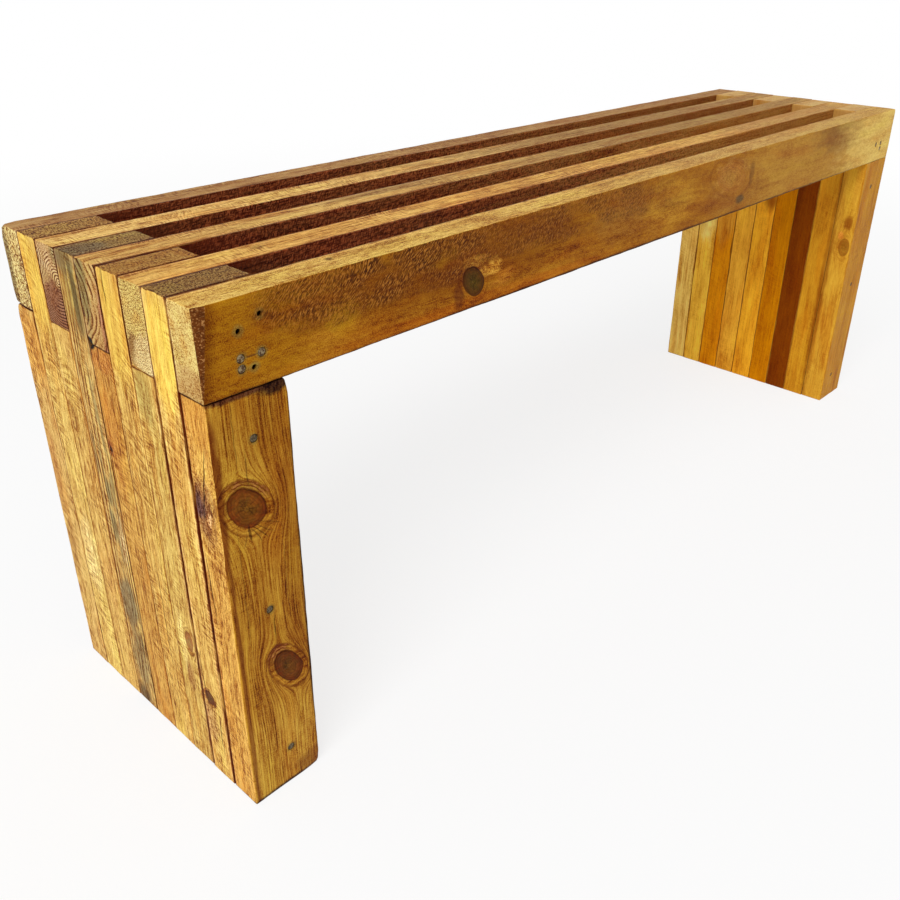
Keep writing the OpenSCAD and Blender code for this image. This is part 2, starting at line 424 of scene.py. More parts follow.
LOOKS = {
    "seat_slat_1": Look(
        edge=(206, 161, 77), wide=(168, 106, 20), end=(222, 192, 113),
        hatched=True, inner_faces=(1,),
        pith=(90, -30), ring=4.5, rings=(0.2, 0.05, 0.1),
        saw=0.3, seam=0.9, fibre=0.8, thread=0.22, streak=0.5, blotch=1.5,
        mottle=2.0, speckle=0.8, speck=1.1, rim_wear_and_highlight=0.2,
        wane=((LEFT + 11, FRONT, SEAT_HEIGHT), (-6.9, -30.4, 1.0)),
        knots=[
            Knot(
                (292 + LEFT, FRONT, 445), 14.0, stretch=1.0, lean=0.3, core=(88, 58, 18), rings=1.2,
                shade=0.4, shade_at=20, swirl=0.5,
            ),
            Knot(
                (122, FRONT, 466), 17, stretch=2.2, lean=0.2, core=(190, 130, 54), swirl=0.35, shade_at=10,
                bark=0.0, heart=0.25, shade=0.5,
            ),
        ],
        washes=[
            front_wash(-610, 457, 90, 60, (156, 97, 8), 0.95),
            front_wash(-360, 468, 240, 36, (130, 70, 6), 0.85),
            front_wash(-510, 454, 20, 22, (172, 116, 14), 0.7),
            front_wash(-330, 424, 260, 9, (172, 94, 12), 0.7),
            front_wash(-400, 478, 34, 12, (150, 98, 16), 0.7),
            front_wash(-345, 463, 24, 6, (212, 156, 56), 0.75, ragged=2.2, torn=0.5),
            front_wash(-328, 453, 18, 9, (216, 158, 58), 0.75, ragged=2.2, torn=0.5),
            front_wash(-310, 441, 22, 8, (190, 120, 34), 0.6, ragged=2.2, torn=0.4),
            front_wash(-372, 436, 8, 16, (104, 46, 14), 0.7),
            front_wash(-20, 462, 70, 34, (192, 136, 38), 0.8),
            front_wash(-110, 462, 60, 34, (160, 104, 34), 0.7),
            front_wash(400, 457, 330, 90, (184, 132, 46), 0.85),
            front_wash(132, 456, 80, 40, (158, 102, 32), 0.7),
            front_wash(122, 470, 40, 22, (182, 126, 50), 0.7, ragged=2.4, torn=0.25),
            front_wash(176, 464, 8, 18, (122, 76, 26), 0.7, ragged=1.2),
            front_wash(152, 435, 13, 7, (100, 76, 44), 0.9),
            front_wash(470, 484, 130, 40, (142, 94, 30), 0.9),
            front_wash(660, 457, 240, 140, (230, 190, 96), 0.95, ragged=0.5),
            end_wash(-146, 420, 34, 26, (192, 150, 88), 0.8, flat=0.8),
            # Painted shade along the underside edge of the front slat
            Wash((0, FRONT, 419), (680, 5, 3.4), SHADE_BROWN, 0.8),
            Wash((260, -140, SEAT_HEIGHT), (420, 40, 9), (190, 146, 76), 0.7, face="edge"),
            Wash((-502, -135, SEAT_HEIGHT), (5, 4, 5), (122, 92, 36), 0.9, torn=0.6, face="edge"),
            Wash((LEFT + 45, FRONT, 446), (8, 4, 1.2), (92, 46, 14), 0.8, ragged=0.4),
        ] + nail_stains(FACE_NAILS[:3] + OLD_HOLES),
    ),
    "seat_slat_2": Look(
        edge=(206, 154, 74), wide=WINE, end=(212, 180, 98), inner_faces=(-1, 1), pith=(20, 70),
        rings=(0.3, 0.4, 0.7), speckle=2.2, seam=0.1, golden=1.15,
        washes=[
            end_wash(-62, 436, 9, 17, (150, 104, 54), 0.85, ragged=0.7, flat=0.8),
            end_wash(-86, 428, 28, 27, (224, 194, 128), 0.95, ragged=0.5, flat=0.8),
            Wash((430, -70, SEAT_HEIGHT), (260, 30, 9), (182, 136, 72), 0.8, face="edge"),
            Wash((-523, -66, SEAT_HEIGHT), (8, 7, 5), (150, 104, 38), 0.8, torn=0.8, face="edge"),
        ],
    ),
    "seat_slat_3": Look(
        edge=(198, 152, 78), wide=WINE, end=(194, 152, 88), inner_faces=(-1, 1), pith=(46, 14),
        ring=6.5, rings=(0.3, 0.4, 3.2), speckle=0.8, seam=0.9,
        washes=[
            Wash((260, 0, SEAT_HEIGHT), (560, 30, 20), (156, 116, 58), 0.85, face="edge"),
            Wash((-300, 8, SEAT_HEIGHT), (120, 12, 9), (150, 112, 62), 0.7, face="edge"),
            Wash((-536, 11, SEAT_HEIGHT), (9, 4, 5), (160, 100, 36), 0.8, torn=0.6, face="edge"),
            end_wash(-17, 436, 8, 40, (170, 108, 70), 0.8),
            end_wash(10, 470, 12, 44, (126, 108, 60), 0.8),
            # Painted shade: a black spot in the chipped gap below the slat's end
            Wash((LEFT, 16.5, 420.5), (8, 8, 6), (22, 12, 10), 1.0, ragged=0.5, flat=0.7),
        ],
    ),
    "seat_slat_4": Look(
        edge=(214, 168, 90), wide=WINE, end=(192, 150, 90), inner_faces=(-1, 1), pith=(-14, 7),
        drift=(0.0, 0.0), ring=2.9, rings=(0.3, 0.4, 6.5), speckle=1.6, seam=0.1, golden=0.55,
        washes=[
            Wash((260, 70, SEAT_HEIGHT), (580, 30, 20), (152, 110, 56), 0.9, face="edge"),
            end_wash(72, 482, 22, 16, (204, 164, 112), 0.7),
            end_wash(54, 488, 9, 12, (146, 124, 72), 0.7),
            end_wash(68, 434, 30, 30, (136, 82, 52), 0.9, torn=0.7, flat=0.75),
        ],
    ),
    "seat_slat_5": Look(
        edge=(164, 118, 64), wide=(150, 96, 34), end=(212, 182, 112),
        inner_faces=(-1,), pith=(-30, -80),
        rings=(0.3, 0.7, 0.1), speckle=3.0, speck=1.6, seam=1.0, golden=0.45, thread=1.3, blotch=1.4,
        knots=[
            Knot((-180, BACK, 464), 12, stretch=1.3, lean=0.2, core=(112, 62, 20), shade_at=20),
            Knot((330, BACK, 441), 8, stretch=1.4, core=(96, 48, 16), shade_at=150),
        ],
        washes=[
            end_wash(154, 450, 8, 60, (120, 92, 50), 0.8),
            Wash((-420, BACK, 462), (170, 20, 50), (178, 118, 44), 0.7, face="wide"),
            Wash((70, BACK, 474), (210, 20, 34), (132, 80, 26), 0.7, face="wide"),
            Wash((480, BACK, 450), (150, 20, 50), (168, 116, 52), 0.7, face="wide"),
        ],
    ),
    "left_leg_short_1": Look(
        edge=(216, 160, 72), wide=(176, 120, 34), end=(96, 58, 32), ring=2.9, pith=(16, -110),
        rings=(0.4, 0.5, 0.6), drift=(0.02, 0.03), saw=0.8, thread=1.1,
        blotch=1.3, mottle=1.4, rim_wear_and_highlight=0.0, seam=0.9,
        knots=[
            Knot(
                (26.5 + LEFT, FRONT, 318), 16.8, core=(122, 64, 16),
                stretch=1.17, lean=0.29, shade_at=60, shade=0.9,
            ),
            Knot(
                (51 + LEFT, FRONT, 138), 13, core=(106, 54, 18),
                stretch=1.55, lean=0.36, shade_at=105, shade=0.95,
            ),
        ],
        washes=[
            front_wash(LEFT + 50, 400, 60, 60, (158, 102, 20), 0.7),
            front_wash(LEFT + 20, 350, 26, 60, (186, 134, 44), 0.5),
            front_wash(LEFT + 60, 300, 30, 60, (166, 104, 22), 0.6),
            front_wash(LEFT + 38, 30, 60, 90, (192, 140, 50), 0.8),
            front_wash(LEFT + 2, 330, 7, 110, (112, 50, 8), 0.9),
            front_wash(LEFT + 4.5, 120, 2.8, 190, (120, 60, 14), 0.8, ragged=0.6),
            # Painted shade along the inner edge and along the foot of the leg's front face
            Wash((LEFT + LEG_DEPTH, FRONT, 209), (3.6, 40, 260), SHADE_BROWN, 0.95, ragged=0.6),
            Wash((LEFT + 38, FRONT, 0), (60, 9, 5.0), SHADE_BROWN, 0.95, ragged=0.6),
            front_wash(LEFT + 66, 240, 10, 170, (150, 92, 20), 0.6),
            front_wash(LEFT + 66, 12, 22, 14, (132, 76, 24), 0.7),
            Wash((LEFT + 36, FRONT, 418), (60, 7, 4.5), (84, 44, 24), 0.95, torn=1.0),
            # Painted shade in the gap below the seat
            Wash((LEFT + 70, FRONT, 415), (30, 7, 8), SHADE_BROWN, 0.95, torn=0.8),
            side_wash(-137, 316, 17, 38, (150, 96, 54), 0.85, ragged=1.4, torn=1.0),
            side_wash(-131, 320, 10, 15, (92, 56, 52), 0.9, ragged=1.4, torn=0.8),
            side_wash(-143, 312, 5, 12, (232, 178, 112), 0.8, torn=0.8),
            side_wash(-145, 400, 24, 30, (208, 142, 54), 0.7),
        ] + nail_stains(FACE_NAILS[3:]),
        cracks=[
            Crack((LEFT + 27, FRONT, 294), 16, 2.8, dark=0.7),
            Crack((LEFT + 33, FRONT, 290), 16, 1.1, lean=-0.5, dark=0.5),
            Crack((LEFT + 37, FRONT, 291), 16, 1.1, lean=-0.8, dark=0.5),
            Crack((LEFT + 41, FRONT, 293), 15, 1.1, lean=-1.2, dark=0.45),
            Crack((LEFT + 46, FRONT, 297), 12, 1.1, lean=-1.9, dark=0.4),
            Crack((LEFT + 22, FRONT, 289), 12, 1.0, lean=0.3, dark=0.4),
            Crack((LEFT + 41, FRONT, 190), 26, 1.1, lean=0.05, dark=0.6),
            Crack((LEFT + 16, FRONT, 240), 130, 0.8, dark=0.35),
            Crack((LEFT + 58, FRONT, 236), 90, 0.8, dark=0.3),
            Crack((LEFT + 22, FRONT, 388), 60, 0.8, dark=0.4),
            Crack((LEFT + 30, FRONT, 352), 30, 0.9, dark=0.5),
            Crack((LEFT, -141, 342), 70, 1.6, lean=-0.2),
            Crack((LEFT, -130, 240), 70, 1.2, lean=0.05),
        ],
    ),
    "left_leg_tall_1": Look(
        edge=(219, 173, 86), end=(138, 100, 46), pith=(20, 90), speckle=4.0,
        knots=[Knot((LEFT, -100, 96), 7.2, axis=ALONG, core=(116, 68, 34), stretch=1.05, swirl=0.8)],
        washes=[
            side_wash(-106, 446, 30, 60, (244, 206, 90), 0.9),
            side_wash(-98, 66, 14, 34, (188, 136, 74), 0.8, torn=0.8),
            side_wash(-104, 330, 20, 40, (210, 152, 66), 0.6),
        ],
        cracks=[Crack((LEFT, -94, 116), 60, 1.2, lean=0.1), Crack((LEFT, -112, 60), 50, 0.8)],
    ),
    "left_leg_short_2": Look(
        edge=(208, 166, 82), pith=(-50, 50),
        knots=[
            Knot(
                (LEFT, -76.5, 149), 6.4, axis=ALONG, core=(158, 92, 52), stretch=1.8, swirl=0.8,
                shade=0.2, bark=0.5, heart=0.75,
            ),
        ],
        washes=[
            side_wash(-64.5, 143, 5.5, 38, (244, 214, 124), 0.8, ragged=0.4, flat=0.7),
            side_wash(-70, 104, 8, 22, (172, 120, 60), 0.8, torn=0.6),
            side_wash(-66, 395, 16, 30, (184, 152, 76), 0.8),
        ],
    ),
    "left_leg_tall_2": Look(
        edge=(215, 170, 84), end=(162, 116, 50), pith=(50, 40), speckle=1.8,
        washes=[side_wash(-35, 446, 30, 60, (232, 188, 78), 0.8)],
        cracks=[Crack((LEFT, -28, 480), 30, 1.0), Crack((LEFT, -36, 160), 120, 0.6)],
    ),
    "left_leg_short_3": Look(
        edge=(203, 149, 67), warm=0.9, seam=0.9,
        washes=[
            side_wash(-2, 408, 22, 16, (190, 114, 46), 0.7, torn=0.5),
            side_wash(0, 330, 20, 70, (202, 136, 54), 0.7),
            side_wash(12.5, 319, 6, 12, (170, 92, 40), 0.8),
            side_wash(12.3, 317, 3.4, 4, (48, 22, 14), 0.95, ragged=0.4),
            # Painted shade: a black spot in the chipped gap at the board's top
            Wash((LEFT, 16, 418), (8, 9, 5), (22, 12, 10), 1.0, ragged=0.5, flat=0.7),
        ],
        cracks=[Crack((LEFT, 14, 306), 40, 1.0), Crack((LEFT, 4, 408), 30, 0.8)],
    ),
    "left_leg_tall_3": Look(
        edge=(204, 158, 82), wide=(150, 110, 60), end=(146, 112, 54), vein=(128, 100, 54),
        ring=3.4, rings=(2.2, 0.7, 1.2), drift=(0.01, 0.04), speckle=2.2, fibre=1.4, streak=1.4,
        washes=[
            side_wash(38, 486, 20, 18, (124, 104, 72), 0.85),
            side_wash(28, 456, 8, 44, (92, 80, 48), 0.85),
            side_wash(44, 452, 12, 30, (184, 146, 72), 0.8, ragged=1.4),
            side_wash(33.5, 464, 1.7, 32, (218, 194, 116), 0.8, ragged=0.4),
            side_wash(24.5, 452, 1.6, 34, (60, 46, 26), 0.8, ragged=0.9),
            side_wash(37, 130, 17, 38, (136, 114, 76), 0.9, flat=0.6),
            side_wash(34, 60, 17, 60, (152, 124, 76), 0.85),
            side_wash(37, 225, 8, 24, (118, 100, 62), 0.8),
            side_wash(34, 264, 7, 18, (136, 118, 70), 0.7),
            side_wash(42, 8, 16, 20, (92, 72, 48), 0.85),
            side_wash(26, 214, 8, 34, (226, 196, 134), 0.7),
            Wash((LEFT + 14, 34, SEAT_HEIGHT), (34, 20, 5), (114, 92, 60), 0.85, torn=1.0, face="end"),
            Wash((LEFT + 50, 46, SEAT_HEIGHT), (24, 8, 5), (166, 134, 62), 0.8, torn=0.5, face="end"),
        ],
    ),
    "left_leg_short_4": Look(
        edge=(214, 169, 86), pith=(40, 60), seam=0.1,
        washes=[side_wash(68, 150, 18, 60, (216, 164, 84), 0.6)],
    ),
    "left_leg_tall_4": Look(
        edge=(222, 181, 93), end=(158, 114, 52), pith=(60, -40), speckle=4.0,
        washes=[
            side_wash(106, 450, 30, 60, (236, 194, 80), 0.8),
            side_wash(106, 160, 18, 60, (244, 214, 136), 0.85),
        ],
    ),
    "left_leg_short_5": Look(
        edge=(211, 165, 88), seam=1.0,
        washes=[
            side_wash(140, 380, 30, 50, (224, 160, 66), 0.7),
            side_wash(150, 250, 8, 60, (188, 124, 60), 0.7),
            Wash((LEFT + 50, BACK, 90), (50, 20, 110), (166, 106, 34), 0.7, face="wide"),
        ],
        knots=[Knot((LEFT + 48, BACK, 262), 11, stretch=1.4, lean=0.2, core=(120, 64, 18))],
    ),
    "right_leg_short_1": far_board(
        (212, 155, 46), SHORT_END, wide=(198, 135, 34),
        knots=[
            Knot(
                (RIGHT - LEG_DEPTH, -147, 280), 9, axis=ALONG, core=(140, 70, 10), stretch=1.7,
                swirl=0.1, bark=0.0, heart=0.6,
            ),
        ],
        washes=[
            inner_wash(-124, 200, 7, 260, (150, 84, 12), 0.7),
            inner_wash(-138, 298, 6, 9, (244, 168, 66), 0.9),
            inner_wash(-146, 320, 10, 14, (150, 80, 14), 0.8),
        ],
    ),
    "right_leg_tall_1": far_board(
        (206, 142, 30), TALL_END,
        washes=[inner_wash(-122, 200, 6, 260, (150, 84, 12), 0.7), slot_end_shade(-105.6)],
    ),
    "right_leg_short_2": far_board((128, 58, 0), SHORT_END),
    "right_leg_tall_2": far_board((204, 124, 0), TALL_END, washes=[slot_end_shade(-35.2)]),
    "right_leg_short_3": far_board(
        (244, 172, 38), SHORT_END,
        washes=[inner_wash(-8, 340, 14, 30, (130, 56, 4), 0.8)],
    ),
    "right_leg_tall_3": far_board((244, 176, 52), TALL_END, washes=[slot_end_shade(35.2)]),
    "right_leg_short_4": far_board(
        (228, 142, 8), SHORT_END,
        washes=[
            inner_wash(52, 238, 4, 26, (70, 34, 8), 0.9, ragged=0.5),
            inner_wash(72, 290, 24, 60, (214, 150, 50), 0.7),
        ],
    ),
    "right_leg_tall_4": far_board(
        (252, 194, 62), TALL_END,
        # The second wash is painted light that lifts the seat's shadow on this inner face
        washes=[slot_end_shade(105.6), inner_wash(106, 300, 30, 70, (255, 232, 130), 0.8)],
    ),
    "right_leg_short_5": far_board(
        (250, 204, 100), SHORT_END,
        thread=2.4, rings=(0.3, 1.4, 0.5), streak=1.6,
        washes=[Wash((RIGHT - 30, BACK, 330), (50, 20, 110), (160, 98, 30), 0.7, face="wide")],
        knots=[Knot((RIGHT - 28, BACK, 128), 10, stretch=1.5, lean=-0.2, core=(112, 58, 18), shade_at=110)],
    ),
}

# How dark the grime and painted shade in the joint behind each layer are, and how far they reach below and
# beside the seat
JOINTS = {
    1: (1.0, 2.8, 1.9),
    2: (1.0, 3.0, 1.9),
    3: (0.6, 1.1, 1.4),
    4: (0.6, 1.1, 2.0),
    5: (0.7, 1.2, 1.8),
    6: (0.6, 1.2, 1.3),
    7: (0.5, 1.0, 1.3),
    8: (0.7, 1.0, 1.8),
}


# The wood shader. Grain darkens a colour to amber and then to umber, or lightens it to cream.

AMBER = (0.64, 0.42, 0.24, 1)
UMBER = (0.34, 0.2, 0.12, 1)
CREAM = (1.45, 1.8, 2.3, 1)
WARM = (0.94, 0.7, 0.4, 1)
LEMON = (1.03, 1.1, 0.92, 1)
# A dark tint for the joints and gaps between parts, partly dirt and partly painted shade
GRIME_AND_SHADE = (0.16, 0.05, 0.03, 1)
BURNT = (0.3, 0.17, 0.08, 1)


class Timber:
    """The fields of one board that its shader works with, in millimetres."""

    def __init__(self, tree, name, look):
        self.tree = tree
        self.look = look
        self.grain = ALONG if name.startswith("seat") else UP
        self.lateral = UP if self.grain == ALONG else ALONG
        low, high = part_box(name)
        self.centre = (low + high) / 2 / MM
        self.half = (high - low) / 2 / MM
        where = add_node(tree, "ShaderNodeTexCoord", {}, {}, output="Object")
        in_mm = self.vector("SCALE", where, scale=1 / MM)
        self.place = self.split(in_mm)
        self.shift = Vector((17.0, 31.0, 53.0)) * look.seed * 10
        self.seeded = self.vector("ADD", in_mm, tuple(self.shift))
        self.flow = self.seeded
        # Which face a point is on is told by the face that it is nearest to
        self.insets = [self.inset(axis) for axis in range(3)]
        to_end, to_wide, to_edge = (self.insets[axis] for axis in (self.grain, ACROSS, self.lateral))
        wander = (self.noise(34, 12, 12, detail=3) - 0.5) * 4
        self.end_face = (to_edge.least(to_wide) - to_end + wander).step(-0.4, 0.4)
        self.wide_face = (to_edge - to_wide + wander).step(-0.4, 0.4) * (1 - self.end_face)
        self.edge_face = (1 - self.wide_face) * (1 - self.end_face)
        self.inner = 0.0
        for side in look.inner_faces:
            self.inner = self.depth(side).step(1.6, 0.8) * self.wide_face + self.inner

    def vector(self, operation, *values, scale=None):
        inputs = dict(enumerate(values))
        if scale is not None:
            inputs["Scale"] = scale
        return add_node(self.tree, "ShaderNodeVectorMath", {"operation": operation}, inputs)

    def split(self, vector):
        first = add_node(self.tree, "ShaderNodeSeparateXYZ", {}, [vector])
        return [Signal(self.tree, socket) for socket in first.socket.node.outputs]

    def combine(self, x, y, z):
        return add_node(self.tree, "ShaderNodeCombineXYZ", {}, [x, y, z])

    def length(self, vector):
        return add_node(self.tree, "ShaderNodeVectorMath", {"operation": "LENGTH"}, [vector], output=1)

    def tint(self, first, second, share, blend="MULTIPLY"):
        return mix(self.tree, first, second, share, blend)

    def cover(self, tone, colour, share):
        """Lays a colour, as on a screen, over a tone."""
        return self.tint(tone, paint(*colour), share, "MIX")

    def inset(self, axis):
        """Depth below the nearer of the board's two faces across an axis."""
        return self.half[axis] - abs(self.place[axis] - self.centre[axis])

    def depth(self, side):
        """Depth below the board's front face, where side is -1, or its back face, where it is 1."""
        return self.half[ACROSS] - (self.place[ACROSS] - self.centre[ACROSS]) * side

    def by_face(self, edge, wide, end):
        return self.edge_face * edge + self.wide_face * wide + self.end_face * end

    def raw_noise(self, where, detail=2.0, rough=0.5, output=0):
        inputs = {"Vector": where, "Scale": 1.0, "Detail": detail, "Roughness": rough}
        return add_node(self.tree, "ShaderNodeTexNoise", {}, inputs, output=output)

    def noise(self, along, thick, lateral, detail=2.0, rough=0.5, where=None, output=0):
        """Soft noise, from 0 to 1, with its own length scale each way."""
        sizes = [0, 0, 0]
        sizes[self.grain] = 1 / along
        sizes[ACROSS] = 1 / thick
        sizes[self.lateral] = 1 / lateral
        spread = self.vector("MULTIPLY", where or self.seeded, tuple(sizes))
        return self.raw_noise(spread, detail, rough, output)

    def strokes(self, angle, thick, length, sway):
        """Noise drawn out into short strokes, which rise at an angle over the front face."""
        along, up = self.place[ALONG], self.place[UP]
        rise, run = math.sin(angle), math.cos(angle)
        bend = (self.noise(50, 25, 25, detail=1) - 0.5) * sway
        lengthwise = (along * run + up * rise) / length
        crosswise = (up * run - along * rise + bend) / thick
        return self.raw_noise(self.combine(lengthwise, crosswise, self.look.seed + angle))

    def closeness(self, place, reach, ragged=0.0, flat=0.45):
        """1 in the middle of a patch and 0 beyond its reach, with an uneven border."""
        off = self.vector("SUBTRACT", self.combine(*self.place), tuple(place))
        length = self.length(self.vector("DIVIDE", off, tuple(reach)))
        if ragged:
            length = length + (self.noise(24, 8, 8, detail=3) - 0.5) * ragged
        return length.step(1.1, flat)


def find_knots(timber):
    """Each knot's distance field. The grain flows round them all."""
    wander = timber.noise(240, 70, 70, detail=2, output=1)
    shift = timber.vector("SCALE", timber.vector("SUBTRACT", wander, (0.5, 0.5, 0.5)), scale=12.0)
    shift = timber.split(shift)
    away = list(timber.place)
    for axis in (ACROSS, timber.lateral):
        away[axis] = away[axis] + shift[axis]
    found = []
    for knot in timber.look.knots:
        side = [axis for axis in range(3) if axis not in (timber.grain, knot.axis)][0]
        along = timber.place[timber.grain] - knot.place[timber.grain]
        aside = timber.place[side] - knot.place[side] + along * knot.lean
        along = along / knot.stretch
        wobble = (timber.noise(16, 16, 16, detail=2) - 0.5) * knot.radius * 0.25
        distance = (along * along + aside * aside).root() + wobble
        edge = knot.radius * knot.rings
        near = edge / distance.most(edge)
        away[side] = away[side] - aside * near * near * near
        found.append((knot, distance, along, aside))
    timber.flow = timber.vector("ADD", timber.combine(*away), tuple(timber.shift))
    return away, found


def ring_lines(timber, away):
    """The dark late wood of the growth rings, from distance to a pith line."""
    look = timber.look
    along = timber.place[timber.grain] - timber.centre[timber.grain]
    thick = away[ACROSS] - (timber.centre[ACROSS] + look.pith[0]) - along * look.drift[0]
    aside = away[timber.lateral] - (timber.centre[timber.lateral] + look.pith[1]) - along * look.drift[1]
    phase = (thick * thick + aside * aside).root() / look.ring + timber.noise(160, 26, 26, detail=1) * 1.8
    late = add_node(
        timber.tree,
        "ShaderNodeValToRGB",
        {"stops": [(0.0, 0.3), (0.12, 0.0), (0.45, 0.1), (0.8, 0.75), (0.92, 1.0), (1.0, 0.3)]},
        {0: phase.fraction()},
    )
    return (late - 0.3) * timber.noise(60, 16, 16, detail=2).step(0.3, 0.62)


def saw_marks(timber):
    """Fine scores that the saw left across the grain, in places."""
    place = timber.place
    bend = (timber.noise(90, 45, 45, detail=1) - 0.5) * 22
    slant = place[ACROSS] * -0.26 + place[timber.lateral] * 0.06
    across = place[timber.grain] + slant + bend
    aside = place[timber.lateral] / 16 + timber.look.seed
    lines = timber.raw_noise(timber.combine(across / 1.7, aside, place[ACROSS] / 16), detail=1.0)
    return (lines - 0.5) * timber.noise(70, 26, 26, detail=2).step(0.43, 0.57)


def base_tone(timber):
    """Each face's colour. Those in the slots are wine-red, golden towards the right end, and darker towards
    the left end, where painted shade falls as each slot closes at the leg.
    """
    look = timber.look
    tone = timber.tint(paint(*look.edge), paint(*look.wide), timber.wide_face, "MIX")
    if look.inner_faces:
        reddish = timber.noise(70, 20, 20, detail=3).step(0.35, 0.65)
        wine = timber.tint(paint(*WINE), paint(112, 66, 30), reddish * 0.6, "MIX")
        # Painted shade: the slot faces darken towards the left end, where each slot closes at the leg
        wine = timber.tint(wine, (0.45, 0.3, 0.3, 1), timber.place[ALONG].step(-470, -580))
        golden = timber.place[ALONG].step(-480, 330) * look.golden
        slot_colour_and_shade = timber.cover(wine, (186, 124, 54), golden)
        tone = timber.tint(tone, slot_colour_and_shade, timber.inner, "MIX")
    return timber.cover(tone, look.end, timber.end_face)


def stain(timber, tone):
    """Lays the board's washes over its tone. The second result is where they leave it torn."""
    faces = {"wide": timber.wide_face, "end": timber.end_face, "edge": timber.edge_face, "": 1.0}
    torn = 0.0
    for wash in timber.look.washes:
        near = timber.closeness(wash.place, wash.reach, wash.ragged, wash.flat)
        patch = near * wash.strength * faces[wash.face]
        tone = timber.cover(tone, wash.colour, patch)
        torn = patch * wash.torn + torn
    return tone, torn


def draw_grain(timber, tone, torn, late):
    """Fibres, streaks and pores, as one scale from dark to pale. The second result is their height."""
    look = timber.look
    end_face = timber.end_face
    warmth = timber.noise(120, 22, 22, detail=3, where=timber.flow)
    tone = timber.tint(tone, WARM, warmth.step(0.5, 0.7) * look.warm)
    tone = timber.tint(tone, LEMON, warmth.step(0.47, 0.3) * 0.7)
    streak = timber.noise(150, 4, 4, detail=3, rough=0.6, where=timber.flow)
    if look.vein:
        patchy = timber.noise(50, 12, 12, detail=2).step(0.42, 0.56) * timber.edge_face
        tone = timber.cover(tone, look.vein, streak.step(0.48, 0.58) * patchy * 0.8)
    fibre = timber.noise(15, 0.8, 0.8, where=timber.flow) - 0.5
    dash = timber.noise(6, 1.2, 1.2, detail=1, where=timber.flow)
    flecks = dash.step(0.56, 0.72) - dash.step(0.44, 0.28)
    thread = timber.noise(80, 1.3, 1.3, detail=3, where=timber.flow) - 0.5
    blotch = timber.noise(60, 18, 18, detail=3) - 0.5
    mottle = timber.noise(6, 3, 3, detail=3, rough=0.65) - 0.5
    grit = timber.noise(1, 1, 1, detail=1.5, rough=0.6) - 0.5
    size = look.speck
    pores = timber.noise(size, size * (2.4 if timber.grain == UP else 1.0), size, detail=1.5, rough=0.6) - 0.5
    marks = saw_marks(timber)

    sawn = (fibre * 3.8 + flecks * 0.3) * look.fibre + marks * look.saw * 2.7
    planed = (thread * 2.6 + fibre * 1.2) * look.thread + marks * look.saw
    shade = timber.by_face(sawn, planed, 0.0) + (streak - 0.5) * (1 - end_face) * look.streak * 2
    shade = shade + blotch * look.blotch * 1.3 + mottle * (look.mottle * 0.8 + torn * 5)
    shade = shade + pores * (end_face * look.speckle * 3.4) + grit * (look.mottle * 1.7 + torn * 3)
    shade = shade - late * timber.by_face(*look.rings)
    if timber.grain == ALONG:
        calm = timber.place[ALONG].step(-200, 450) * 0.45
    else:
        calm = timber.place[UP].step(390, 440) * timber.edge_face * 0.5
    shade = shade * (1 - calm) * look.contrast
    tone = timber.tint(tone, AMBER, shade * -2)
    tone = timber.tint(tone, UMBER, shade * -2 - 1)
    tone = timber.tint(tone, CREAM, shade * (1 - end_face * 0.5))
    height = fibre * 0.25 + marks * look.saw * 0.5 + mottle * (0.2 + torn * 0.8) - late * 0.1
    return tone, height


def hatch(timber, tone, height):
    """The wild grain of the front slat: short strokes, pale and dark, over a darker ground."""
    along, up = timber.place[ALONG], timber.place[UP]
    ragged = (timber.noise(60, 24, 24, detail=3) - 0.5) * 50
    band = (up + ragged * 0.7).step(448, 464) * (along + ragged).step(-606, -560) * along.step(120, -140)
    patch = timber.noise(46, 26, 26, detail=2).step(0.22, 0.48) * band * timber.wide_face * (1 - timber.inner)
    patch = patch * (1 - along.step(-440, -300) * 0.4)
    marks = timber.strokes(math.radians(50), 1.1, 4.2, 8)
    woven = timber.strokes(math.radians(140), 2.2, 3.4, 6).step(0.36, 0.5) * 0.6 + 0.4
    wave = timber.noise(34, 24, 24, detail=2)
    patch = patch * (1 - wave.step(0.55, 0.42) * 0.3)
    tone = timber.cover(tone, (104, 50, 12), patch * 0.72)
    tone = timber.tint(tone, (0.62, 0.5, 0.45, 1), wave.step(0.54, 0.68) * patch)
    tone = timber.cover(tone, (46, 18, 8), marks.step(0.5, 0.4) * patch * 0.8)
    tone = timber.cover(tone, (202, 134, 54), marks.step(0.51, 0.6) * woven * patch * 0.7)
    return tone, height + (marks - 0.5) * patch


def score(timber, tone, height):
    """Crossed saw scores on the faces inside the slots."""
    first = timber.strokes(math.radians(66), 1.4, 4.5, 3)
    second = timber.strokes(math.radians(4), 1.5, 8, 3)
    pale = first.step(0.44, 0.58) * second.step(0.42, 0.56)
    dark = first.step(0.48, 0.38).most(second.step(0.46, 0.36))
    far = timber.place[ALONG].step(-100, 400)
    here = timber.inner * (1 - far * 0.7) * timber.place[ALONG].step(-580, -500)
    tone = timber.cover(tone, (56, 16, 8), dark * here * 0.7)
    tone = timber.cover(tone, (206, 112, 66), pale * here * 0.5)
    return tone, height + (pale - dark) * timber.inner * 0.3


